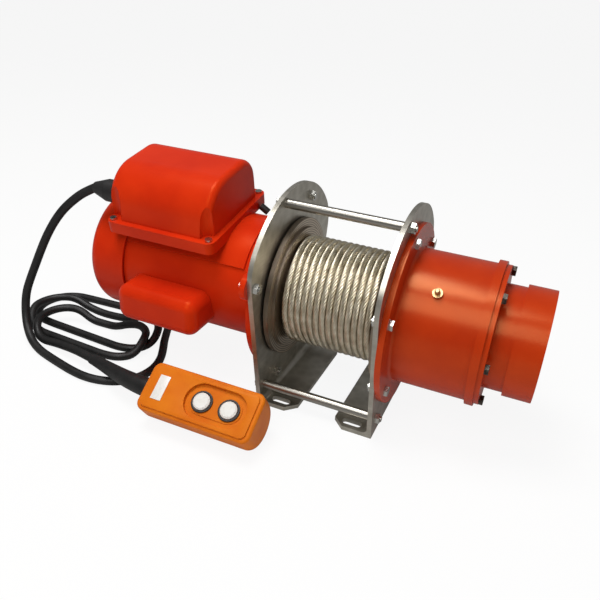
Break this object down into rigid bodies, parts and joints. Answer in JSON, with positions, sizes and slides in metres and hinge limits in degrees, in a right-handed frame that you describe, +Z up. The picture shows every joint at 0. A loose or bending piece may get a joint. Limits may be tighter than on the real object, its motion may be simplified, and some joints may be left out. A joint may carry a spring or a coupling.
{
  "type": "electric rope winch",
  "caption": "Electric rope winch: capacitor motor, planetary gearbox and rope drum between two footed side plates, with a push button pendant on a cord.",
  "frame": {"origin": "on the floor, midway between the side plates and under the drum axis, at the centre of the four foot slots", "axes": "+X along the drum axis from motor to gearbox, +Y to the rear, +Z up"},
  "size_m": [0.638, 0.2694, 0.2459],
  "materials": {
    "motor_paint": "glossy orange-red enamel",
    "gearbox_paint": "glossy orange-red enamel",
    "plate_zinc": "dull zinc plating",
    "fastener_zinc": "bright zinc plating",
    "drum_steel": "turned steel",
    "rope_steel": "stranded steel rope",
    "gear_steel": "hobbed steel",
    "bearing_steel": "ground steel",
    "core_steel": "stacked sheet steel",
    "copper_wire": "varnished copper wire",
    "bronze": "bare brass",
    "black_plastic": "moulded",
    "capacitor_can": "drawn can",
    "black_rubber": "smooth cable jacket",
    "pendant_plastic": "moulded orange",
    "button_plastic": "white caps"
  },
  "bodies": {
    "frame": {"capacitor_cover": "motor_paint", "contactors": "black_plastic", "control_base": "motor_paint", "control_cord": "black_rubber", "control_cover": "motor_paint", "control_cover_screws": "fastener_zinc", "cord_coil": "black_rubber", "cord_gland": "black_plastic", "drum_bearings": "bearing_steel", "end_housing": "gearbox_paint", "end_housing_bolts": "fastener_zinc", "fan_cover": "motor_paint", "flange_nuts": "fastener_zinc", "gear_flange_bolts": "fastener_zinc", "gear_housing": "gearbox_paint", "gear_side_plate": "plate_zinc", "grease_nipple": "bronze", "motor_bearings": "bearing_steel", "motor_end_bell": "motor_paint", "motor_flange": "motor_paint", "motor_flange_bolts": "fastener_zinc", "motor_housing": "motor_paint", "motor_lead": "black_rubber", "motor_saddle": "motor_paint", "motor_side_plate": "plate_zinc", "pendant_boot": "black_rubber", "pendant_contact_block": "black_plastic", "pendant_cord": "black_rubber", "pendant_lower_shell": "pendant_plastic", "pendant_upper_shell": "pendant_plastic", "run_capacitor": "capacitor_can", "shaft_end_bush": "bronze", "stage_one_ring_gear": "gear_steel", "stage_two_ring_gear": "gear_steel", "stator_core": "core_steel", "stator_windings": "copper_wire", "tie_rod_nuts": "fastener_zinc", "tie_rods": "fastener_zinc"},
    "drum": {"drum": "drum_steel", "rope_winding": "rope_steel", "stage_two_carrier": "gear_steel", "stage_two_pins": "gear_steel"},
    "rotor": {"rotor_core": "core_steel", "drive_shaft": "gear_steel", "cooling_fan": "black_plastic", "stage_one_sun": "gear_steel"},
    "carrier": {"stage_one_carrier": "gear_steel", "stage_one_pins": "gear_steel", "stage_two_sun": "gear_steel"},
    "stage_two_planet_a": {"stage_two_planet_a": "gear_steel"},
    "stage_two_planet_b": {"stage_two_planet_b": "gear_steel"},
    "stage_two_planet_c": {"stage_two_planet_c": "gear_steel"},
    "stage_one_planet_a": {"stage_one_planet_a": "gear_steel"},
    "stage_one_planet_b": {"stage_one_planet_b": "gear_steel"},
    "stage_one_planet_c": {"stage_one_planet_c": "gear_steel"},
    "button_up": {"button_up": "button_plastic"},
    "button_down": {"button_down": "button_plastic"}
  },
  "joints": [
    {"name": "drum_spin", "type": "hinge", "parent": "frame", "child": "drum", "pos_m": [0, 0, 0.117], "axis": [1, 0, 0], "continuous": true},
    {"name": "rotor_spin", "type": "hinge", "parent": "frame", "child": "rotor", "pos_m": [0, 0, 0.117], "axis": [1, 0, 0], "continuous": true},
    {"name": "carrier_spin", "type": "hinge", "parent": "frame", "child": "carrier", "pos_m": [0, 0, 0.117], "axis": [1, 0, 0], "continuous": true},
    {"name": "stage_two_planet_a_spin", "type": "hinge", "parent": "drum", "child": "stage_two_planet_a", "pos_m": [0.11, 0.03, 0.117], "axis": [1, 0, 0], "continuous": true},
    {"name": "stage_two_planet_b_spin", "type": "hinge", "parent": "drum", "child": "stage_two_planet_b", "pos_m": [0.11, -0.015, 0.14298], "axis": [1, 0, 0], "continuous": true},
    {"name": "stage_two_planet_c_spin", "type": "hinge", "parent": "drum", "child": "stage_two_planet_c", "pos_m": [0.11, -0.015, 0.09102], "axis": [1, 0, 0], "continuous": true},
    {"name": "stage_one_planet_a_spin", "type": "hinge", "parent": "carrier", "child": "stage_one_planet_a", "pos_m": [0.172, 0.02625, 0.117], "axis": [1, 0, 0], "continuous": true},
    {"name": "stage_one_planet_b_spin", "type": "hinge", "parent": "carrier", "child": "stage_one_planet_b", "pos_m": [0.172, -0.01312, 0.13973], "axis": [1, 0, 0], "continuous": true},
    {"name": "stage_one_planet_c_spin", "type": "hinge", "parent": "carrier", "child": "stage_one_planet_c", "pos_m": [0.172, -0.01312, 0.09427], "axis": [1, 0, 0], "continuous": true},
    {"name": "button_up_press", "type": "slide", "parent": "frame", "child": "button_up", "axis": [0, 0.5592, -0.829], "range_m": [0, 0.004], "stiffness_N_per_m": 400, "springref_m": -0.001},
    {"name": "button_down_press", "type": "slide", "parent": "frame", "child": "button_down", "axis": [0, 0.5592, -0.829], "range_m": [0, 0.004], "stiffness_N_per_m": 400, "springref_m": -0.001}
  ],
  "couplings": [
    {"joint": "rotor_spin", "follows": "drum_spin", "ratio": 25},
    {"joint": "carrier_spin", "follows": "drum_spin", "ratio": 5},
    {"joint": "stage_two_planet_a_spin", "follows": "drum_spin", "ratio": -2.6667},
    {"joint": "stage_two_planet_b_spin", "follows": "drum_spin", "ratio": -2.6667},
    {"joint": "stage_two_planet_c_spin", "follows": "drum_spin", "ratio": -2.6667},
    {"joint": "stage_one_planet_a_spin", "follows": "drum_spin", "ratio": -13.333},
    {"joint": "stage_one_planet_b_spin", "follows": "drum_spin", "ratio": -13.333},
    {"joint": "stage_one_planet_c_spin", "follows": "drum_spin", "ratio": -13.333}
  ]
}
